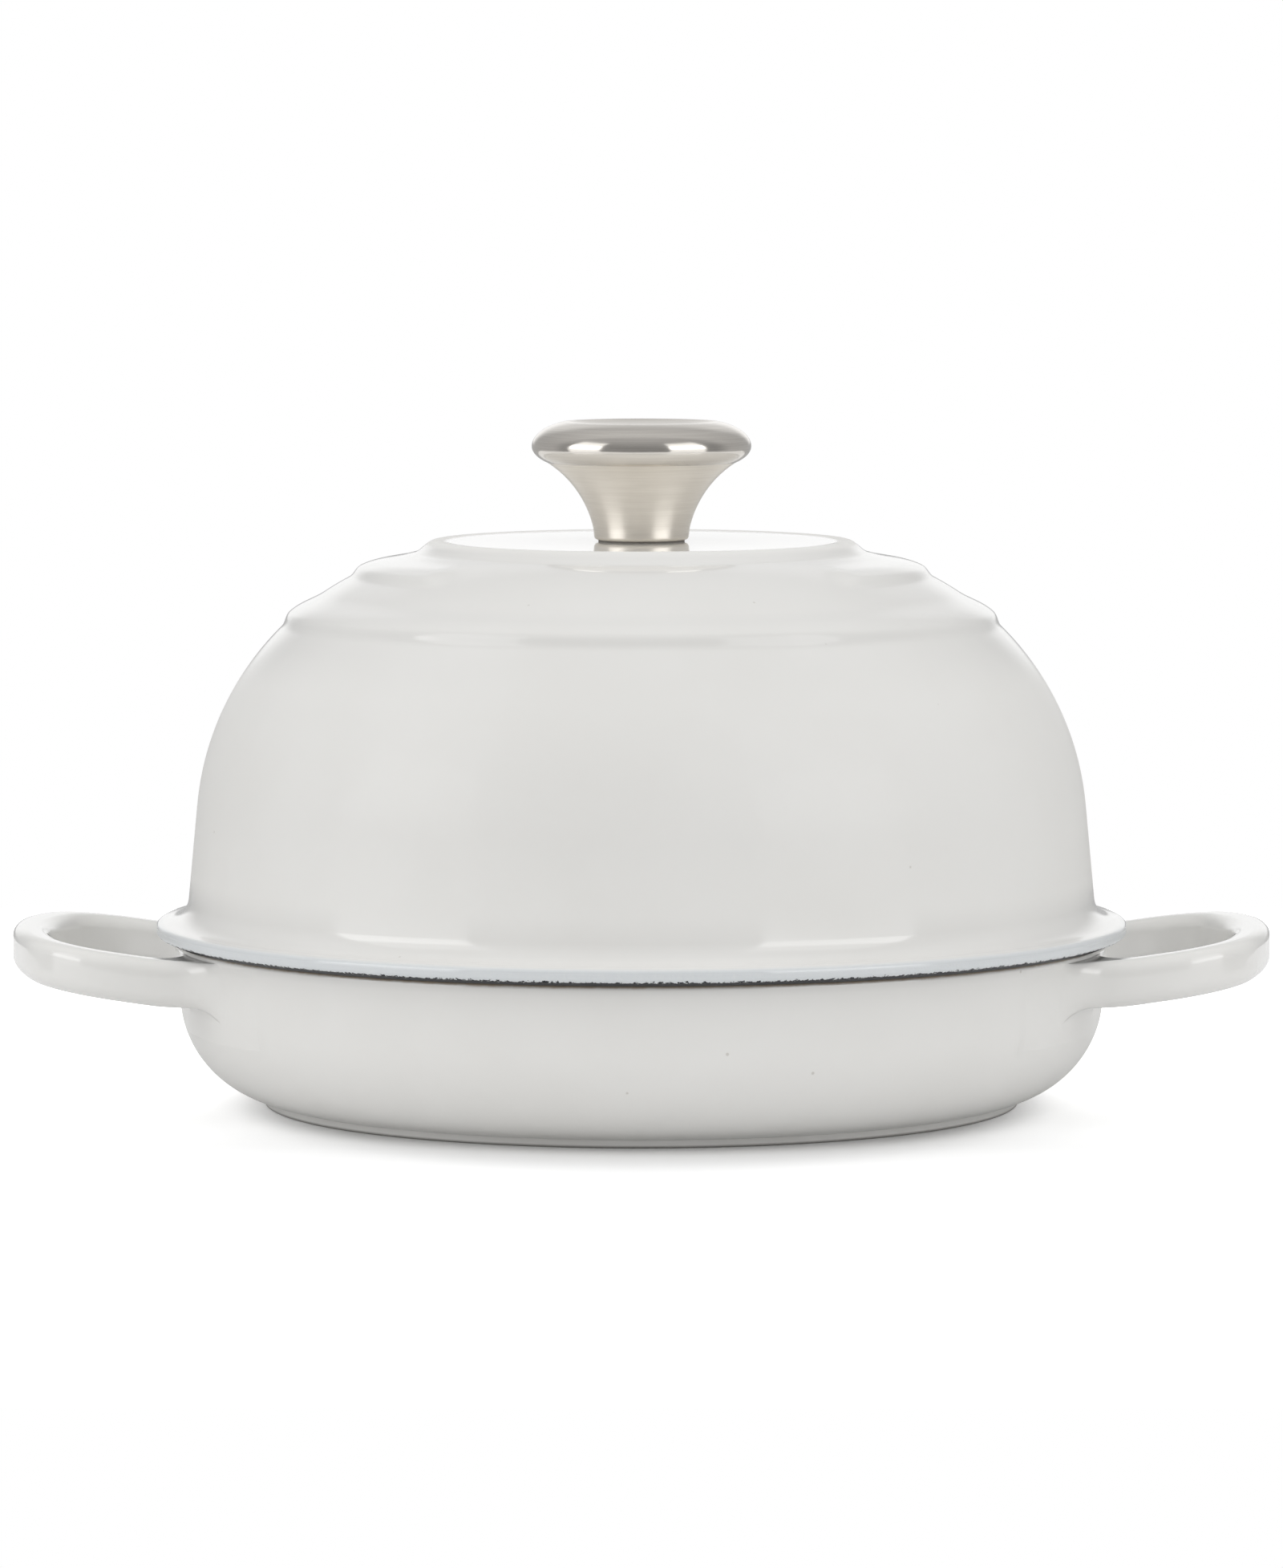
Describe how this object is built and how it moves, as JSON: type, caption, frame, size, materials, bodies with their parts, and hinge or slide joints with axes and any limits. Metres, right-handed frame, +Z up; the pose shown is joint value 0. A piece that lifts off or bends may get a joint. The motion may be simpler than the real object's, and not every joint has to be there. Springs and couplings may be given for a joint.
{
  "type": "bread cloche",
  "caption": "Round cast-iron bread cloche: a shallow pan with loop handles under a tall domed lid with a steel knob; the lid lifts off.",
  "frame": {"origin": "middle of the foot ring, on the surface that the pan stands on", "axes": "+Z up along the pan's and the lid's common axis, +X through one loop handle, -Y towards the front"},
  "size_m": [0.324, 0.25, 0.1754],
  "materials": {
    "white_enamel": "glossy off-white vitreous enamel fired on cast iron",
    "black_enamel": "satin black vitreous enamel fired on cast iron",
    "brushed_steel": "stainless steel, brushed round the axis",
    "fixing_steel": "plain stainless steel",
    "gasket_rubber": "matt black silicone"
  },
  "bodies": {
    "base": {"base_pan": "white_enamel", "pan_lining": "black_enamel"},
    "lid": {"dome_lid": "white_enamel", "dome_lining": "black_enamel", "knob_cap": "brushed_steel", "knob_neck": "brushed_steel", "knob_insert": "fixing_steel", "knob_gasket": "gasket_rubber", "flat_washer": "fixing_steel", "lock_washer": "fixing_steel", "knob_screw": "fixing_steel"}
  },
  "joints": [
    {"name": "lid_lift", "type": "slide", "parent": "base", "child": "lid", "axis": [0, 0, 1], "range_m": [0, 0.2]}
  ]
}
